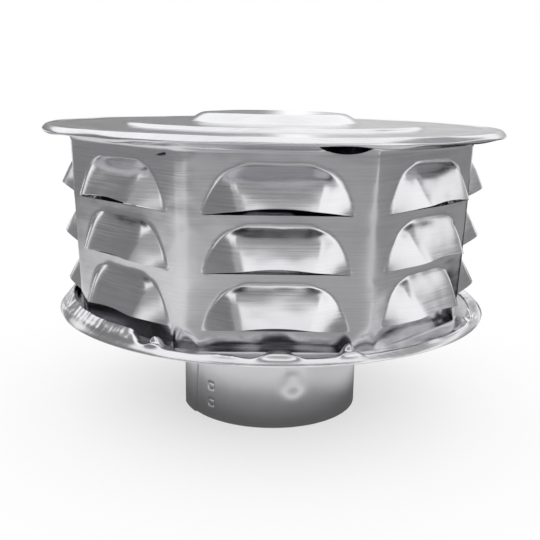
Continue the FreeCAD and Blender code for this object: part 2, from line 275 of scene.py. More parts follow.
bpy.ops.mesh.select_all(action="SELECT")
bpy.ops.mesh.extrude_edges_move()
bpy.ops.transform.resize(value=(MAT_OUTER / MAT_INNER,) * 3)
bpy.ops.object.mode_set(mode="OBJECT")
mat.data.materials.append(material)
only_mirrored(mat)
print("table mat with", len(stops), "tones")

# %% Lamps: one broad softbox high in front and one over the top
def softbox(name, watts, size, place, aim_at):
    """Area lamp aimed at a point. It lights the paper; the metal doesn't mirror it, only the cards."""
    direction = Vector(aim_at) - Vector(place)
    turn = direction.to_track_quat("-Z", "Y").to_euler()
    bpy.ops.object.light_add(type="AREA", location=place, rotation=turn)
    lamp = bpy.context.object
    lamp.name = name
    lamp.data.shape = "RECTANGLE"
    lamp.data.size, lamp.data.size_y = size
    lamp.data.energy = watts
    lamp.visible_glossy = False
    print(name, watts, "W,", round(direction.length, 2), "m away")


CAP_MIDDLE = (0, 0, 0.085)
softbox("front_softbox", 1.6, (1.3, 0.36), (0.25, -1.1, 0.88), CAP_MIDDLE)
softbox("top_softbox", 1.5, (0.9, 0.9), (0.0, 0.35, 1.4), CAP_MIDDLE)

# %% [markdown]
# ## Helpers for modelling
# Each piece starts as a primitive and is shaped in edit mode, as it would be by hand. An operator acts on
# whatever is selected, so some helpers do the choosing: one adds a primitive with nothing else selected,
# and one selects the vertices, edges or faces that pass a test on their place.

# %% Select pieces, start one, choose parts of it
import bmesh

AXIS = (0, 0, 0)


def select_alone(piece):
    """Make a piece the only selected one, and the active one."""
    bpy.ops.object.select_all(action="DESELECT")
    piece.select_set(True)
    bpy.context.view_layer.objects.active = piece


def join(piece, others):
    """Join other objects into a piece."""
    select_alone(piece)
    for other in others:
        other.select_set(True)
    bpy.ops.object.join()


def start(name, primitive, **settings):
    """Add a primitive alone in the selection, name it and put its place in its mesh."""
    if bpy.context.object and bpy.context.object.mode != "OBJECT":
        bpy.ops.object.mode_set(mode="OBJECT")
    bpy.ops.object.select_all(action="DESELECT")
    primitive(**settings)
    piece = bpy.context.object
    piece.name = piece.data.name = name
    bpy.ops.object.transform_apply(location=True, rotation=True, scale=True)
    return piece


def choose(kind, test):
    """In edit mode, select just the VERT, EDGE or FACE parts whose place and self pass a test."""
    bpy.ops.mesh.select_mode(type=kind)
    bpy.ops.mesh.select_all(action="DESELECT")
    cage = bmesh.from_edit_mesh(bpy.context.object.data)
    parts = {"VERT": cage.verts, "EDGE": cage.edges, "FACE": cage.faces}[kind]
    for part in parts:
        corners = [part] if kind == "VERT" else part.verts
        place = sum((v.co for v in corners), Vector()) / len(corners)
        if test(place, part):
            part.select_set(True)
    cage.select_flush_mode()
    bmesh.update_edit_mesh(bpy.context.object.data)


# %% Tests on a place
def near(value, target, slack=0.01):
    """Whether a value is closer to a target than a slack."""
    return abs(value - target) < slack


def radius_of(place):
    """Distance from the cap's upright axis."""
    return math.hypot(place.x, place.y)


def bearing(place):
    """Degrees round the axis from the front, to the right when positive."""
    return (math.degrees(math.atan2(place.y, place.x)) + 90 + 180) % 360 - 180


# %% [markdown]
# ## Louvre band
# The drum is one strip of sheet: 24 louvres are lanced and drawn out of it, it is bent to an octagon, and
# both its edges are turned out so that the discs can be rolled over them. A dense sheet could be pushed by
# a height map, but sheet metal bends in broad, tight curves, and a subdivision surface over a sparse cage
# gives just that. So one louvre is shaped as a small cage and repeated.

# %% Sizes of one louvre
ROW_PITCH = 20.6                        # mm from slit to slit
HOOD_HEIGHT = 17.1                      # mm from the slit to the hood's top
HOOD_REACH = 11.0                       # mm that the lip stands out
LIP_LIFT = 4.2                          # mm that the lip's middle arches up
BULGE = 0.80                            # below 1 the hood's front is convex from top to lip
TOP_EASE = 0.06                         # share of the height over which the top runs out into the wall
PANEL_HALF = 27.4                       # mm from a face's middle to the start of its corner bend
LOUVRE_ROWS = (                         # height, half-width at the ridge, half-width at the outline, mm
    (0.0, 13.0, 26.0),
    (3.6, 13.4, 25.0),
    (7.9, 14.0, 22.9),
    (11.8, 14.0, 20.4),
    (14.8, 12.8, 17.3),
    (HOOD_HEIGHT, 8.8, 11.6),
    (18.8, 9.5, 17.0),
    (ROW_PITCH, 12.0, 26.0),
)
COLUMN_REACH = (1.0, 1.0, 0.98, 0.50, 0.0, 0.0)   # share of the reach, from the middle to the panel's edge
SIDE_CREASE, RIDGE_CREASE = 0.8, 0.2    # how sharp the outline and the ridges are
TOP_ROW = 5                             # index of the hood's top row
ACROSS, UP = 10, 7                      # faces of the cage
RIDGE_AT, OUTLINE_AT = 0.2, 0.4         # places of the ridge and outline columns in the unit grid
GRID_FOOT = 0.5                         # height of the unit grid's lower edge
print("one hood is", 2 * LOUVRE_ROWS[0][2], "mm wide,", HOOD_HEIGHT, "mm high and", HOOD_REACH, "mm deep")

# %% One louvre: rows from the slit up, columns from the middle out
def column_places(ridge, outline):
    """Distances of the six columns from the middle, mm."""
    return (0.0, ridge / 2, ridge, (ridge + outline) / 2, outline, PANEL_HALF)


def unit_grid(name, rows):
    """Upright grid one metre square and a metre up, so that a row once placed isn't chosen again."""
    return start(name, bpy.ops.mesh.primitive_grid_add, x_subdivisions=ACROSS, y_subdivisions=rows, size=1,
                 rotation=(math.pi / 2, 0, 0), location=(0, 0, 1))


louvre = unit_grid("louvre", UP)
bpy.ops.object.mode_set(mode="EDIT")
for column_at, crease in ((OUTLINE_AT, SIDE_CREASE), (RIDGE_AT, RIDGE_CREASE)):
    choose("EDGE", lambda p, e: near(abs(p.x), column_at) and p.z < TOP_ROW / UP + GRID_FOOT)
    bpy.ops.transform.edge_crease(value=crease)

for row, (height, ridge, outline) in enumerate(LOUVRE_ROWS):
    level = row / UP + GRID_FOOT
    fall = max(0.0, 1 - height / HOOD_HEIGHT)
    for column, across in enumerate(column_places(ridge, outline)):
        spot = column / ACROSS
        lift = LIP_LIFT * fall * max(0.0, 1 - (across / outline) ** 2)
        share = max(0.0, 1 - (height + lift) / HOOD_HEIGHT)
        eased = (1 + TOP_EASE) * share / (share + TOP_EASE)
        out = HOOD_REACH * share ** BULGE * eased * COLUMN_REACH[column]
        choose("VERT", lambda p, v: near(abs(p.x), spot) and near(p.z, level))
        if column:
            bpy.ops.transform.resize(value=(across * MM / spot, 1, 1), center_override=AXIS)
        bpy.ops.transform.translate(value=(0, -out * MM, (height + lift) * MM - level))
print("louvre cage", len(louvre.data.vertices), "vertices")

# %% One face: three louvres over a plain strip
ROWS = 3
FIRST_SLIT = 7.8                        # mm from the foot to the lowest slit
STRIP_ROWS = (0.0, 3.4, FIRST_SLIT)     # heights, mm
SAME = 0.05 * MM                        # places closer than this are one

bpy.ops.mesh.select_all(action="SELECT")
bpy.ops.transform.translate(value=(0, 0, FIRST_SLIT * MM))
for row in range(1, ROWS):
    bpy.ops.mesh.duplicate_move(TRANSFORM_OT_translate={"value": (0, 0, ROW_PITCH * MM)})
strip = unit_grid("plain_strip", len(STRIP_ROWS) - 1)
bpy.ops.object.mode_set(mode="EDIT")
for column, across in enumerate(column_places(*LOUVRE_ROWS[0][1:])):
    if column:
        spot = column / ACROSS
        choose("VERT", lambda p, v: near(abs(p.x), spot))
        bpy.ops.transform.resize(value=(across * MM / spot, 1, 1), center_override=AXIS)
for row, height in enumerate(STRIP_ROWS):
    level = row / (len(STRIP_ROWS) - 1) + GRID_FOOT
    choose("VERT", lambda p, v: near(p.z, level))
    bpy.ops.transform.translate(value=(0, 0, height * MM - level))
bpy.ops.object.mode_set(mode="OBJECT")
join(louvre, [strip])
bpy.ops.object.mode_set(mode="EDIT")
bpy.ops.mesh.select_all(action="SELECT")
bpy.ops.mesh.remove_doubles(threshold=SAME)
bpy.ops.object.mode_set(mode="OBJECT")
print("one face", len(louvre.data.polygons), "faces of cage")

# %% [markdown]
# ## The octagon
# The real strip is bent at its corners and lapped at one of them. A flat mesh of all eight faces could be
# bent by a modifier, but its corners would come out as one even curve. So one face is copied round the
# axis, and each pair of neighbours is bridged with a few narrow flats, which make a tight bend.

# %% Eight faces round the axis, leaning out as they rise
SHEET = 0.5 * MM                        # thickness of all four sheets
FACES = 8
FOOT = 46.6 * MM + SHEET                # outer skin where the wall meets its foot flange
WALL_TOP = 119.1 * MM                   # where the wall starts to flare
FOOT_FLATS = 156 * MM                   # across the flats at the foot
TOP_FLATS = 161 * MM
HALF_TURN = math.pi / FACES
LEAN = math.atan2((TOP_FLATS - FOOT_FLATS) / 2, WALL_TOP - FOOT)

band = louvre
band.name = band.data.name = "louvred_band"
band.rotation_euler = (LEAN, 0, 0)
band.location = (0, -FOOT_FLATS / 2, FOOT)
bpy.ops.object.transform_apply(location=True, rotation=True, scale=True)
copies = []
for side in range(1, FACES):
    select_alone(band)
    bpy.ops.object.duplicate(linked=False)
    copy = bpy.context.object
    copy.rotation_euler = (0, 0, 2 * HALF_TURN * side)
    bpy.ops.object.transform_apply(location=True, rotation=True, scale=True)
    copies.append(copy)
join(band, copies)
print("eight faces", len(band.data.polygons), "faces of cage")

# %% Bend the corners: bridge each pair of neighbouring faces with a few narrow flats
CORNER = 180 / FACES                    # degrees from a face's middle to its corner
LEFT_CORNER, RIGHT_CORNER = -CORNER, CORNER       # of the front face
CORNER_REACH = 3.8                      # degrees that a bend takes to each side
CORNER_CUTS = 2                         # three flats across a bend
SHARP_CUTS = 1                          # the front right one was folded sharp, with one ridge
corners = [CORNER * (2 * k + 1) - 180 for k in range(FACES)]


def in_bend(place, corner, reach=CORNER_REACH):
    """Whether a place lies within some degrees of a corner."""
    return abs((bearing(place) - corner + 180) % 360 - 180) < reach


def upright(edge):
    """Whether an edge runs up the wall and not across it."""
    return abs(edge.verts[0].co.z - edge.verts[1].co.z) > SHEET


bpy.ops.object.mode_set(mode="EDIT")
for corner in corners:
    choose("EDGE", lambda p, e: e.is_boundary and upright(e) and in_bend(p, corner))
    cuts = SHARP_CUTS if near(corner, RIGHT_CORNER) else CORNER_CUTS
    bpy.ops.mesh.bridge_edge_loops(number_cuts=cuts, interpolation="SURFACE", smoothness=1.0)
bpy.ops.mesh.select_all(action="SELECT")
bpy.ops.mesh.normals_make_consistent(inside=False)
bpy.ops.object.mode_set(mode="OBJECT")
bend = [radius_of(v.co) / MM for v in band.data.vertices
        if near(v.co.z, FOOT, 2 * SAME) and in_bend(v.co, LEFT_CORNER)]
print("radii across one corner bend, mm", [round(r, 2) for r in bend])

# %% Sharpen the bends of the two front corners, and draw out the right one's ridge
LEFT_CREASE, RIGHT_CREASE = 0.25, 0.2
RIDGE_PULL = 1.002                      # how much the ridge stands out of a round bend

bpy.ops.object.mode_set(mode="EDIT")
for corner, crease in ((LEFT_CORNER, LEFT_CREASE), (RIGHT_CORNER, RIGHT_CREASE)):
    choose("EDGE", lambda p, e: upright(e) and in_bend(p, corner))
    bpy.ops.transform.edge_crease(value=crease)
choose("VERT", lambda p, v: in_bend(p, RIGHT_CORNER, CORNER_REACH / 2))
bpy.ops.transform.resize(value=(RIDGE_PULL, RIDGE_PULL, 1), center_override=AXIS)
print("front corners creased by", LEFT_CREASE, "and", RIGHT_CREASE)

# %% Push in the corner at the far right, which handling has flattened
FLAT_CORNER = 3 * CORNER
FLAT_REACH = CORNER_REACH + 0.5         # degrees, a little more than the bend
FLATTENED = 0.977                       # share of its distance from the axis that is left
FLAT_BLEND = 14 * MM                    # over which the push dies out
DART_HEIGHT = 5.0 * MM                  # the foot below this stays as it is, for its darts

choose("VERT", lambda p, v: p.z > FOOT + DART_HEIGHT and in_bend(p, FLAT_CORNER, FLAT_REACH))
bpy.ops.transform.resize(value=(FLATTENED, FLATTENED, 1), center_override=AXIS, use_proportional_edit=True,
                         proportional_edit_falloff="SMOOTH", proportional_size=FLAT_BLEND)
print("far right corner pushed in by", round((1 - FLATTENED) * FOOT_FLATS / 2 / MM, 1), "mm")

# %% Pinch the bend of the front right corner, more and more towards its top
PINCH = 0.9                             # how far the bend closes at its top
TOP_SLIT = FOOT + (FIRST_SLIT + (ROWS - 1) * ROW_PITCH) * MM


def sharp_corner(height, degrees):
    """Place of the leaning octagon's corner, were it sharp, at a height and a bearing."""
    flats = FOOT_FLATS + (height - FOOT) * 2 * math.tan(LEAN)
    reach = flats / 2 / math.cos(HALF_TURN)
    return (reach * math.sin(math.radians(degrees)), -reach * math.cos(math.radians(degrees)), height)


heights = {round(v.co.z, 5) for v in bmesh.from_edit_mesh(band.data).verts}
levels = sorted(height for height in heights if height > TOP_SLIT)
for height in levels:
    closed = PINCH * (height - TOP_SLIT) / (WALL_TOP - TOP_SLIT)
    choose("VERT", lambda p, v: near(p.z, height, SAME) and in_bend(p, RIGHT_CORNER))
    bpy.ops.transform.resize(value=(1 - closed, 1 - closed, 1),
                             center_override=sharp_corner(height, RIGHT_CORNER))
print("bend pinched at", len(levels), "levels")

# %% [markdown]
# ## Flanges, gap and slot
# The band's foot is turned out flat and is gathered in a dart at each corner. Its top flares out to a round
# flange. Both could be separate rings, but they are the same sheet, so they are extruded from its edges.
# Two marks show from the front: a dark gap where the flare has slipped out of the plate's hem, and the slot
# that holds the tab of the lap seam. Both are real openings, because a painted mark would look flat.

# %% Turn the foot out flat, with darts at the corners
FOOT_FLANGE = 89.8 * MM                 # radius inside the pan's rolled rim
FOOT_RING = 3.0 * MM                    # width of the flange's outer ring of faces
FOOT_CREASE = 0.7                       # how sharp the fold at the foot is
DART = 0.981                            # share of its distance from the axis that a dart leaves
LEVEL_SLACK = 0.2 * MM                  # edges this near a height are at it


def grow_ring(radius, height):
    """Extrude the chosen ring of edges and set the new ring round, to a radius and a height."""
    bpy.ops.mesh.extrude_edges_move()
    cage = bmesh.from_edit_mesh(bpy.context.object.data)
    level = [v.co for v in cage.verts if v.select][0].z
    bpy.ops.transform.tosphere(value=1, center_override=(0, 0, level))
    now = radius_of([v.co for v in cage.verts if v.select][0])
    bpy.ops.transform.resize(value=(radius / now, radius / now, 1), center_override=AXIS)
    bpy.ops.transform.translate(value=(0, 0, height - level))
    print("ring", round(radius / MM, 1), "mm from the axis and", round(height / MM, 1), "mm up")


for corner in corners:
    choose("VERT", lambda p, v: p.z < FOOT + DART_HEIGHT and in_bend(p, corner, CORNER_REACH / 2))
    bpy.ops.transform.resize(value=(DART, DART, 1), center_override=AXIS)
choose("EDGE", lambda p, e: e.is_boundary and near(p.z, FOOT, LEVEL_SLACK))
bpy.ops.transform.edge_crease(value=FOOT_CREASE)
grow_ring(FOOT_FLANGE - FOOT_RING, FOOT)
grow_ring(FOOT_FLANGE, FOOT)

# %% Flare the top out to a round flange
FLARE_END = (90.8 * MM, 121.3 * MM)     # radius and height
TOP_FLANGE = 94.6 * MM                  # radius inside the top plate's rolled rim

top_edge = max(v.co.z for v in bmesh.from_edit_mesh(band.data).verts)
choose("EDGE", lambda p, e: e.is_boundary and near(p.z, top_edge, LEVEL_SLACK))
bpy.ops.mesh.extrude_edges_move(TRANSFORM_OT_translate={"value": (0, 0, WALL_TOP - top_edge)})
grow_ring(*FLARE_END)
grow_ring(TOP_FLANGE, FLARE_END[1])

# %% Open the gap under the plate, right of the front face's middle
GAP = (9.0, 21.5)                       # bearings of its two ends
GAP_MIDDLE = sum(GAP) / 2
GAP_DIPS = ((4.6, 1.05), (3.2, 1.20))   # degrees to each side, and how far the wall's edge dips there, mm
GAP_SLACK = 0.3 * MM

choose("FACE", lambda p, f: p.z > WALL_TOP + GAP_SLACK and GAP[0] < bearing(p) < GAP[1])
bpy.ops.mesh.delete(type="FACE")
edge_height = WALL_TOP
for half, dip in GAP_DIPS:
    choose("VERT", lambda p, v: near(p.z, edge_height, GAP_SLACK) and near(bearing(p), GAP_MIDDLE, half))
    bpy.ops.transform.translate(value=(0, 0, -dip * MM))
    edge_height -= dip * MM
print("gap", round(math.radians(GAP[1] - GAP[0]) * TOP_FLANGE / MM, 1), "mm long")

# %% Cut the slot of the lap seam, at the top of the left face beside its corner
SLOT_BEARING, SLOT_HALF = LEFT_CORNER - 5.6, 1.6          # degrees
SLOT_HEIGHT, SLOT_RISE = 115.7 * MM, 0.7 * MM
SLOT_INSET = 0.5 * MM
SLOT_END = (-37.8 * MM, -75.9 * MM, 115.8 * MM)
SLOT_GROWTH = (1.6, 1.6, 1.9)           # the cut cell is enlarged this much from its one end

choose("FACE", lambda p, f: near(p.z, SLOT_HEIGHT, SLOT_RISE) and near(bearing(p), SLOT_BEARING, SLOT_HALF))
bpy.ops.mesh.inset(thickness=SLOT_INSET)
bpy.ops.transform.resize(value=SLOT_GROWTH, center_override=SLOT_END)
bpy.ops.transform.edge_crease(value=1.0)
bpy.ops.mesh.delete(type="FACE")
bpy.ops.object.mode_set(mode="OBJECT")
print("band with its flanges", len(band.data.polygons), "faces of cage")

# %% [markdown]
# ## From cage to sheet
# Every piece is finished in the same four steps: the cage is smoothed, soft waves are pushed into it as
# handling leaves them, it gets the thickness of the sheet, and it takes the place of its measured node. A
# sculpted dent here and there would be truer to one cap, but waves all over are what catches the eye.

# %% Smooth, wave and thicken a cage
SMOOTH_ANGLE = math.radians(40)         # folds sharper than this stay sharp to the eye


def apply_modifier(piece, kind, **settings):
    """Add a modifier, set it up and apply it."""
    modifier = piece.modifiers.new(kind.lower(), kind)
    for name, value in settings.items():
        setattr(modifier, name, value)
    bpy.ops.object.modifier_apply(modifier=modifier.name)


def finish_sheet(piece, node, levels, wave_height, wave_size):
    """Smooth, wave and thicken a cage, and let it stand for its measured node."""
    select_alone(piece)
    apply_modifier(piece, "SUBSURF", levels=levels, render_levels=levels)
    waves = bpy.data.textures.new(piece.name + " waves", "CLOUDS")
    waves.noise_scale = wave_size
    apply_modifier(piece, "DISPLACE", texture=waves, strength=wave_height, mid_level=0.5)
    apply_modifier(piece, "SOLIDIFY", thickness=SHEET, offset=-1, use_even_offset=True)
    bpy.ops.object.shade_smooth_by_angle(angle=SMOOTH_ANGLE)
    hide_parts(node)
    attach(piece, "root")
    triangles = sum(len(p.vertices) - 2 for p in piece.data.polygons)
    print(piece.name, triangles, "triangles")


finish_sheet(band, "louvre_band", levels=2, wave_height=0.45 * MM, wave_size=14 * MM)

# %% [markdown]
# ## Round pieces
# The discs and the collar are turned shapes, but the real ones are far from true: their edges were rolled
# over by hand tools and are dented and pleated. Spinning a profile would give the true shape at once; here
# each ring is extruded from the one before, so that a ring can be chosen later and dented on its own.

# %% Grow a round cage from a list of rings
def turned_cage(name, rings, segments):
    """Open cage of rings, each a radius and a height in mm, from the first ring on."""
    radius, height = rings[0]
    piece = start(name, bpy.ops.mesh.primitive_circle_add, vertices=segments, radius=radius * MM,
                  fill_type="NOTHING", location=(0, 0, height * MM))
    bpy.ops.object.mode_set(mode="EDIT")
    bpy.ops.mesh.select_mode(type="EDGE")
    bpy.ops.mesh.select_all(action="SELECT")
    for next_radius, next_height in rings[1:]:
        bpy.ops.mesh.extrude_edges_move()
        growth = next_radius / radius
        bpy.ops.transform.resize(value=(growth, growth, 1), center_override=AXIS)
        bpy.ops.transform.translate(value=(0, 0, (next_height - height) * MM))
        radius, height = next_radius, next_height
    print(name, "cage of", len(rings), "rings with", segments, "vertices each")
    return piece


def close_cage():
    """Turn the faces of the cage in hand outwards and leave edit mode."""
    bpy.ops.mesh.select_all(action="SELECT")
    bpy.ops.mesh.normals_make_consistent(inside=False)
    bpy.ops.object.mode_set(mode="OBJECT")


# %% [markdown]
# ## Top plate
# A pressed lid: a raised middle, a stiffening step two thirds out, and an edge rolled under the band's
# flare. Seen at this low angle it is a mirror for the backdrop, so its slight waves matter more than its
# colour. The rolled edge is squeezed unevenly, which shows as a wavering white line.

# %% Model the top plate
PLATE_HEM = 91.2                        # radius of the free edge under the flare
PLATE_SEGMENTS = 72
PLATE_RINGS = (                         # radius and height in mm, from the hem round the rim to the middle
    (PLATE_HEM, 120.7), (93.6, 120.4), (95.6, 120.4), (96.2, 121.0), (95.4, 121.9), (94.4, 122.9),
    (93.8, 123.1), (93.1, 122.75), (92.0, 122.6), (89.5, 122.95), (87.5, 122.95), (84.5, 122.6),
    (80.0, 122.8), (72.0, 122.9), (66.0, 122.8), (64.6, 122.8), (64.0, 123.1), (63.2, 123.9),
    (62.6, 124.15), (60.0, 124.1), (47.0, 124.1), (38.6, 124.1), (36.4, 124.4), (32.6, 126.9),
    (30.4, 127.9), (28.0, 128.05), (18.0, 128.1), (9.0, 128.1), (3.0, 128.1),
)
plate = turned_cage("pressed_top_plate", PLATE_RINGS, PLATE_SEGMENTS)
bpy.ops.mesh.edge_face_add()

# %% Crimp the plate's hem, and let its edge and its rim waver
CRIMPS = ((-36.0, 1.5), (-24.0, 0.7), (22.5, 1.2), (48.0, 0.5), (-62.0, 0.5))     # bearing and dip in mm
CRIMP_HALF = 3.6                        # degrees to each side
HEM_UNDER = 121.0                       # mm; the hem lies below this height
RIM_FROM = 93.0                         # mm; the rim lies outside this radius
RING_SLACK = 0.3                        # mm; what is this near a ring's radius is on it
HEM_WAVER, RIM_WAVER = 0.5, 0.25        # mm

for where, dip in CRIMPS:
    choose("VERT", lambda p, v: p.z < HEM_UNDER * MM and near(bearing(p), where, CRIMP_HALF))
    bpy.ops.transform.translate(value=(0, 0, -dip * MM))
choose("VERT", lambda p, v: near(radius_of(p), PLATE_HEM * MM, RING_SLACK * MM))
bpy.ops.transform.vertex_random(offset=HEM_WAVER * MM, uniform=0.6, seed=4)
choose("VERT", lambda p, v: radius_of(p) > RIM_FROM * MM)
bpy.ops.transform.vertex_random(offset=RIM_WAVER * MM, uniform=0.5, seed=9)
close_cage()
finish_sheet(plate, "top_plate", levels=2, wave_height=0.4 * MM, wave_size=30 * MM)

# %% [markdown]
# ## Base pan
# The pan's edge is rolled up and over the band's foot. The foot is an octagon and the edge is round, so the
# hem has sheet to spare: it is pleated along the left, and stands up in sharp puckers beside the corners.

# %% Model the base pan
PAN_HOLE = 38.25                        # radius, mm
PAN_HEM = 86.4                          # radius of the free edge over the band's foot
HEM_TOP = 48.9                          # height, mm
PAN_SEGMENTS = 288
PAN_RINGS = (                           # radius and height in mm, from the hole round the rim to the hem
    (PAN_HOLE, 47.2), (40.0, 47.2), (62.0, 47.2), (63.6, 46.8), (65.2, 46.0), (76.0, 46.0), (88.0, 46.0),
    (91.3, 46.0), (92.0, 46.5), (91.0, 47.5), (89.9, 48.6), (89.4, HEM_TOP), (88.9, HEM_TOP - 0.3),
    (88.2, HEM_TOP - 0.6), (87.4, HEM_TOP - 0.9), (PAN_HEM, HEM_TOP - 1.1),
)
pan = turned_cage("rolled_base_pan", PAN_RINGS, PAN_SEGMENTS)

# %% Pleat the hem along the left
PLEATED = (-98, -32)                    # bearings between which the hem stands up in pleats
PLEAT_STEPS = ((0.3, 89.6), (0.8, 89.2), (1.0, 88.5), (1.1, 87.8), (1.2, 86.9))   # rise, inside radius, mm
LEFT_RAMP, RIGHT_RAMP = 1.5, 0.8        # degrees that each step starts later and ends sooner
PLEAT_RISES = (0.40, 0.55, 0.70)        # mm, taken in turn
HEM_ABOVE, HEM_FROM = 47.5, 80.0        # mm; the hem lies above this height, outside this radius
HEM_OUTER, HEM_MIDDLE = 89.6, 89.0      # mm, radii of its bend and just inside it
PLEAT_WAVER = 0.15                      # mm
PAN_STEP = 360 / PAN_SEGMENTS           # degrees
SHY = 0.1                               # degrees, so that no vertex sits on a limit


def on_hem(place, inside):
    """Whether a place is on the hem and inside a radius in mm."""
    return place.z > HEM_ABOVE * MM and HEM_FROM * MM < radius_of(place) < inside * MM


def raise_hem(rise, inside, first, last):
    """Lift the hem inside a radius in mm, between two bearings, by a height in mm."""
    choose("VERT", lambda p, v: on_hem(p, inside) and first < bearing(p) < last)
    bpy.ops.transform.translate(value=(0, 0, rise * MM))


for step, (rise, inside) in enumerate(PLEAT_STEPS):
    raise_hem(rise, inside, PLEATED[0] + LEFT_RAMP * step, PLEATED[1] - RIGHT_RAMP * step)
pleats = int((PLEATED[1] - PLEATED[0]) / (2 * PAN_STEP))
for pleat in range(pleats):
    pleat_at = PLEATED[0] + 2 * PAN_STEP * pleat - SHY
    raise_hem(PLEAT_RISES[pleat % len(PLEAT_RISES)], HEM_OUTER, pleat_at, pleat_at + PAN_STEP)
choose("VERT", lambda p, v: on_hem(p, HEM_MIDDLE))
bpy.ops.transform.vertex_random(offset=PLEAT_WAVER * MM, uniform=0.5, seed=21)
print(pleats, "pleats")

# %% Puckers and a bump in the hem
PUCKERS = ((-29.0, 4.6), (16.8, 4.6), (66.5, 4.0), (61.0, 2.8), (-72.0, 2.0), (-115.0, 4.0), (108.0, 4.0),
           (-160.0, 3.5), (158.0, 4.2))           # bearing and height in mm
PUCKER_STEPS = ((0.25, 89.6, 2.2), (0.30, 88.8, 1.6), (0.45, 87.8, 1.0))    # share, inside radius, half-width
BUMPS = ((0.6, 3.0), (40.0, 1.0), (-12.0, 0.8))   # the first is the one in the middle of the front
BUMP_STEPS = ((0.2, 89.6, 4.6), (0.2, 89.6, 3.4), (0.2, 89.6, 2.2), (0.2, 88.6, 3.8), (0.2, 88.6, 2.6))

for places, steps in ((PUCKERS, PUCKER_STEPS), (BUMPS, BUMP_STEPS)):
    for where, rise in places:
        for share, inside, half in steps:
            raise_hem(share * rise, inside, where - half, where + half)
close_cage()
print(len(PUCKERS), "puckers and", len(BUMPS), "bumps")
print("pan normal at the underside", [round(c, 2) for c in pan.data.polygons[0].normal])
finish_sheet(pan, "base_pan", levels=1, wave_height=0.4 * MM, wave_size=20 * MM)

# %% [markdown]
# ## Flue collar
# The collar is a strip rolled to a ring. Its ends overlap at the left, where a narrow strip stands proud, and
# two buttons pressed through both layers hold it. A drop-shaped dent near the front locates it in the pipe.
# The dent and the buttons could be cut in as separate shapes, but they are the same sheet pushed in, so the
# vertices of the ring are pushed in too.

# %% Model the collar
COLLAR = 38.1                           # radius, mm
COLLAR_SEGMENTS = 96
RING_PITCH, STRAIGHT_RINGS = 2.5, 17    # mm apart; the first is at the foot
BEAD_FOOT = 43.1                        # mm, where the straight wall ends under the stop bead
COLLAR_RINGS = ((COLLAR, 0.15),) + tuple((COLLAR, RING_PITCH * k) for k in range(1, STRAIGHT_RINGS)) + (
    (COLLAR, BEAD_FOOT), (39.2, 43.9), (39.7, 45.1), (39.2, 46.3), (COLLAR, 47.1), (COLLAR, 47.7),
    (38.6, 48.2), (41.5, 48.25), (44.1, 48.3))
collar = turned_cage("rolled_flue_collar", COLLAR_RINGS, COLLAR_SEGMENTS)

# %% Raise the lap strip and slant its edge
COLUMN_STEP = 360 / COLLAR_SEGMENTS     # degrees
LAP = (-77.0, -54.0)                    # bearings between which the outer layer lies
LAP_COLUMN = -15 * COLUMN_STEP          # last column of the outer layer
LAP_TOP, LAP_FOOT = -51.5, -56.5        # bearings of the lap's edge at the pan and at the foot
LAP_STEP = 0.5                          # degrees from the outer layer's edge to the inner one
LAP_RISE = 1.017                        # how much further out the outer layer is
LAP_EDGE = (-58.0, -50.5)               # bearings between which the slanting edge runs
LAP_CREASE = 0.8
WALL_END = 43.0                         # mm, just under the last ring of the straight wall
PROUD = COLLAR * MM * (1 + LAP_RISE) / 2          # radius halfway between the two layers


def shift_column(height, column, outer, target):
    """Turn a column's vertex at a height, on the outer or the inner layer, to a bearing."""
    choose("VERT", lambda p, v: near(p.z, height * MM, MM) and near(bearing(p), column, 0.5)
           and (radius_of(p) > PROUD) == outer)
    bpy.ops.transform.rotate(value=math.radians(column - target), orient_axis="Z", center_override=AXIS)


choose("VERT", lambda p, v: p.z < WALL_END * MM and LAP[0] < bearing(p) < LAP[1])
bpy.ops.transform.resize(value=(LAP_RISE, LAP_RISE, 1), center_override=AXIS)
for ring in range(STRAIGHT_RINGS):
    height = RING_PITCH * ring
    edge_at = LAP_FOOT + (LAP_TOP - LAP_FOOT) * height / BEAD_FOOT
    shift_column(height, LAP_COLUMN, True, edge_at - LAP_STEP)
    shift_column(height, LAP_COLUMN + COLUMN_STEP, False, edge_at)
choose("EDGE", lambda p, e: p.z < WALL_END * MM and LAP_EDGE[0] < bearing(p) < LAP_EDGE[1] and upright(e))
bpy.ops.transform.edge_crease(value=LAP_CREASE)
print("lap strip stands", round((LAP_RISE - 1) * COLLAR, 2), "mm proud")

# %% Press in the drop-shaped dent: a long shallow trough with a rounder end
DENT_BEARING, DENT_HALF = 13.1, 2.0     # degrees
DENT_DEPTH = 0.8                        # mm
DENT_PARTS = ((21.2, 42.8, 3.4), (16.2, 21.2, 4.2))       # foot, top, and how far it blends out, mm

inwards = Vector((-math.sin(math.radians(DENT_BEARING)), math.cos(math.radians(DENT_BEARING)), 0))
for low, high, blend in DENT_PARTS:
    choose("VERT", lambda p, v: near(bearing(p), DENT_BEARING, DENT_HALF) and low * MM < p.z < high * MM)
    bpy.ops.transform.translate(value=inwards * DENT_DEPTH * MM, use_proportional_edit=True,
                                proportional_edit_falloff="SMOOTH", proportional_size=blend * MM)
print("dent", round(DENT_PARTS[0][1] - DENT_PARTS[1][0], 1), "mm long")

# %% Press in the two buttons: a groove round a middle that comes back out
BUTTON_HEIGHTS = (7.5, 15.0)            # mm
BUTTON_BEARING = -11 * COLUMN_STEP      # on a column, beside the lap
BUTTON_HALF, BUTTON_RISE = 2.2, 1.5     # degrees and mm to each side
BUTTON_STEPS = ((0.6, 0.0), (0.5, -0.5), (0.4, 0.4))      # inset and depth, mm

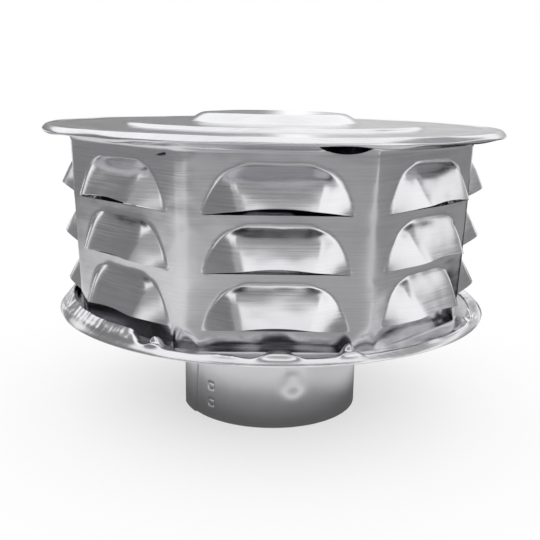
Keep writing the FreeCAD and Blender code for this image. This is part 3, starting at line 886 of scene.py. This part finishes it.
for height in BUTTON_HEIGHTS:
    choose("FACE", lambda p, f: near(p.z, height * MM, BUTTON_RISE * MM)
           and near(bearing(p), BUTTON_BEARING, BUTTON_HALF))
    for inset, depth in BUTTON_STEPS:
        bpy.ops.mesh.inset(thickness=inset * MM, depth=depth * MM)
close_cage()
lap = sorted(round(bearing(v.co), 1) for v in collar.data.vertices
             if v.co.z < MM and LAP_EDGE[0] < bearing(v.co) < LAP_EDGE[1])
print("bearings of the lap's two edges at the foot", lap)
finish_sheet(collar, "flue_collar", levels=2, wave_height=0.15 * MM, wave_size=30 * MM)

# %% [markdown]
# ## Mill-finish rolled aluminium
# The sheet comes straight from the rolling mill: neutral light grey, a soft gloss, and fine straight lines
# left by the rolls. Anisotropic shading could fake the lines, but they are wide enough to see up close, so
# a noise stretched along the rolling direction carves them as bump and varies the roughness with them.

# %% Painted shade on the inside of the drum
PAINTED_INSIDE_SHADE = linear("#2a2833")         # painted shade: the inside gets next to no light, so its colour is painted near-black
FACING_AXIS = (-0.10, -0.25)            # outward part of the normal where a skin starts to face the axis
STEEP = (-0.25, -0.12)                  # upright part of the normal; a skin that looks down catches light
HIGH = (101 * MM, 104 * MM)             # heights above which the shade is painted whichever way it slants


def paint_inside_shade(tree, spot, skin):
    """Colour of the skin, with shade painted near-black where it faces the cap's axis and catches no light
    from below.
    """
    flat = add(tree, "ShaderNodeVectorMath", {"operation": "MULTIPLY"}, i0=spot, i1=(1, 1, 0))
    outward = add(tree, "ShaderNodeVectorMath", {"operation": "NORMALIZE"}, i0=flat.outputs[0])
    normal = add(tree, "ShaderNodeNewGeometry").outputs["Normal"]
    facing = add(tree, "ShaderNodeVectorMath", {"operation": "DOT_PRODUCT"}, i0=outward.outputs[0], i1=normal)
    inwards = add(tree, "ShaderNodeMapRange", Value=facing.outputs["Value"], From_Min=FACING_AXIS[0],
                  From_Max=FACING_AXIS[1])
    normal_parts = add(tree, "ShaderNodeSeparateXYZ", Vector=normal)
    steep = add(tree, "ShaderNodeMapRange", Value=normal_parts.outputs["Z"], From_Min=STEEP[0],
                From_Max=STEEP[1])
    place_parts = add(tree, "ShaderNodeSeparateXYZ", Vector=spot)
    high = add(tree, "ShaderNodeMapRange", Value=place_parts.outputs["Z"], From_Min=HIGH[0],
               From_Max=HIGH[1])
    shaded = add(tree, "ShaderNodeMath", {"operation": "MAXIMUM"}, i0=steep.outputs[0], i1=high.outputs[0])
    painted_shade_share = add(tree, "ShaderNodeMath", {"operation": "MULTIPLY"}, i0=inwards.outputs[0],
                 i1=shaded.outputs[0])
    return add(tree, "ShaderNodeMix", {"data_type": "RGBA"}, i0=painted_shade_share.outputs[0], i6=skin,
               i7=PAINTED_INSIDE_SHADE).outputs[2]


# %% Material of all four pieces
BARE_METAL = linear("#e3e3e6")
LINE = 1 / (0.5 * MM)                   # rolling lines half a millimetre apart
RUN = 1 / (25 * MM)                     # each about 25 mm long
PATCH = 1 / (22.2 * MM)                 # broad patches of tone, 22 mm across


def rolled_aluminium(name, stretch, line_depth=0.02 * MM, rough_range=(0.15, 0.25), palest=0.86,
                     inside=False):
    """Bare rolled sheet. Stretch gives how often the lines repeat along x, y and z, per metre. With inside
    set, shade is painted near-black on the inside of the drum.
    """
    material, tree, output = new_material(name)
    spot = add(tree, "ShaderNodeTexCoord").outputs["Object"]
    along = add(tree, "ShaderNodeMapping", Vector=spot, Scale=stretch)
    lines = add(tree, "ShaderNodeTexNoise", Vector=along.outputs[0], Scale=1.0, Detail=3.0, Roughness=0.6)
    broad = add(tree, "ShaderNodeTexNoise", Vector=spot, Scale=PATCH, Detail=2.0)
    rough = add(tree, "ShaderNodeMapRange", Value=lines.outputs["Fac"], From_Min=0.3, From_Max=0.7,
                To_Min=rough_range[0], To_Max=rough_range[1])
    mottle = add(tree, "ShaderNodeMix", {"data_type": "FLOAT"}, i0=0.5, i2=lines.outputs["Fac"],
                 i3=broad.outputs["Fac"])
    tint = add(tree, "ShaderNodeMapRange", Value=mottle.outputs[0], From_Min=0.35, From_Max=0.65,
               To_Min=palest, To_Max=1.0)
    colour = add(tree, "ShaderNodeVectorMath", {"operation": "SCALE"}, i0=BARE_METAL[:3],
                 Scale=tint.outputs[0])
    # shade painted near-black on the inside of the drum, for the band only
    skin = paint_inside_shade(tree, spot, colour.outputs[0]) if inside else colour.outputs[0]
    carved = add(tree, "ShaderNodeBump", Strength=0.5, Distance=line_depth, Height=lines.outputs["Fac"])
    metal = add(tree, "ShaderNodeBsdfPrincipled", Base_Color=skin, Metallic=1.0,
                Roughness=rough.outputs[0], Normal=carved.outputs[0])
    tree.links.new(metal.outputs[0], output.inputs["Surface"])
    return material


# %% Dress the pieces: lines run round the wall, straight across the discs and up the collar
# The band's material paints shade near-black on the inside of the drum.
wall_sheet = rolled_aluminium("mill-finish rolled aluminium, band", (RUN, RUN, LINE), inside=True)
disc_sheet = rolled_aluminium("mill-finish rolled aluminium, discs", (RUN, LINE, RUN))
collar_sheet = rolled_aluminium("mill-finish rolled aluminium, collar", (LINE, LINE, RUN),
                                line_depth=0.004 * MM, rough_range=(0.19, 0.22), palest=0.95)
for piece, sheet in ((band, wall_sheet), (plate, disc_sheet), (pan, disc_sheet), (collar, collar_sheet)):
    piece.data.materials.append(sheet)
    print(piece.name, "in", [slot.material.name for slot in piece.material_slots])
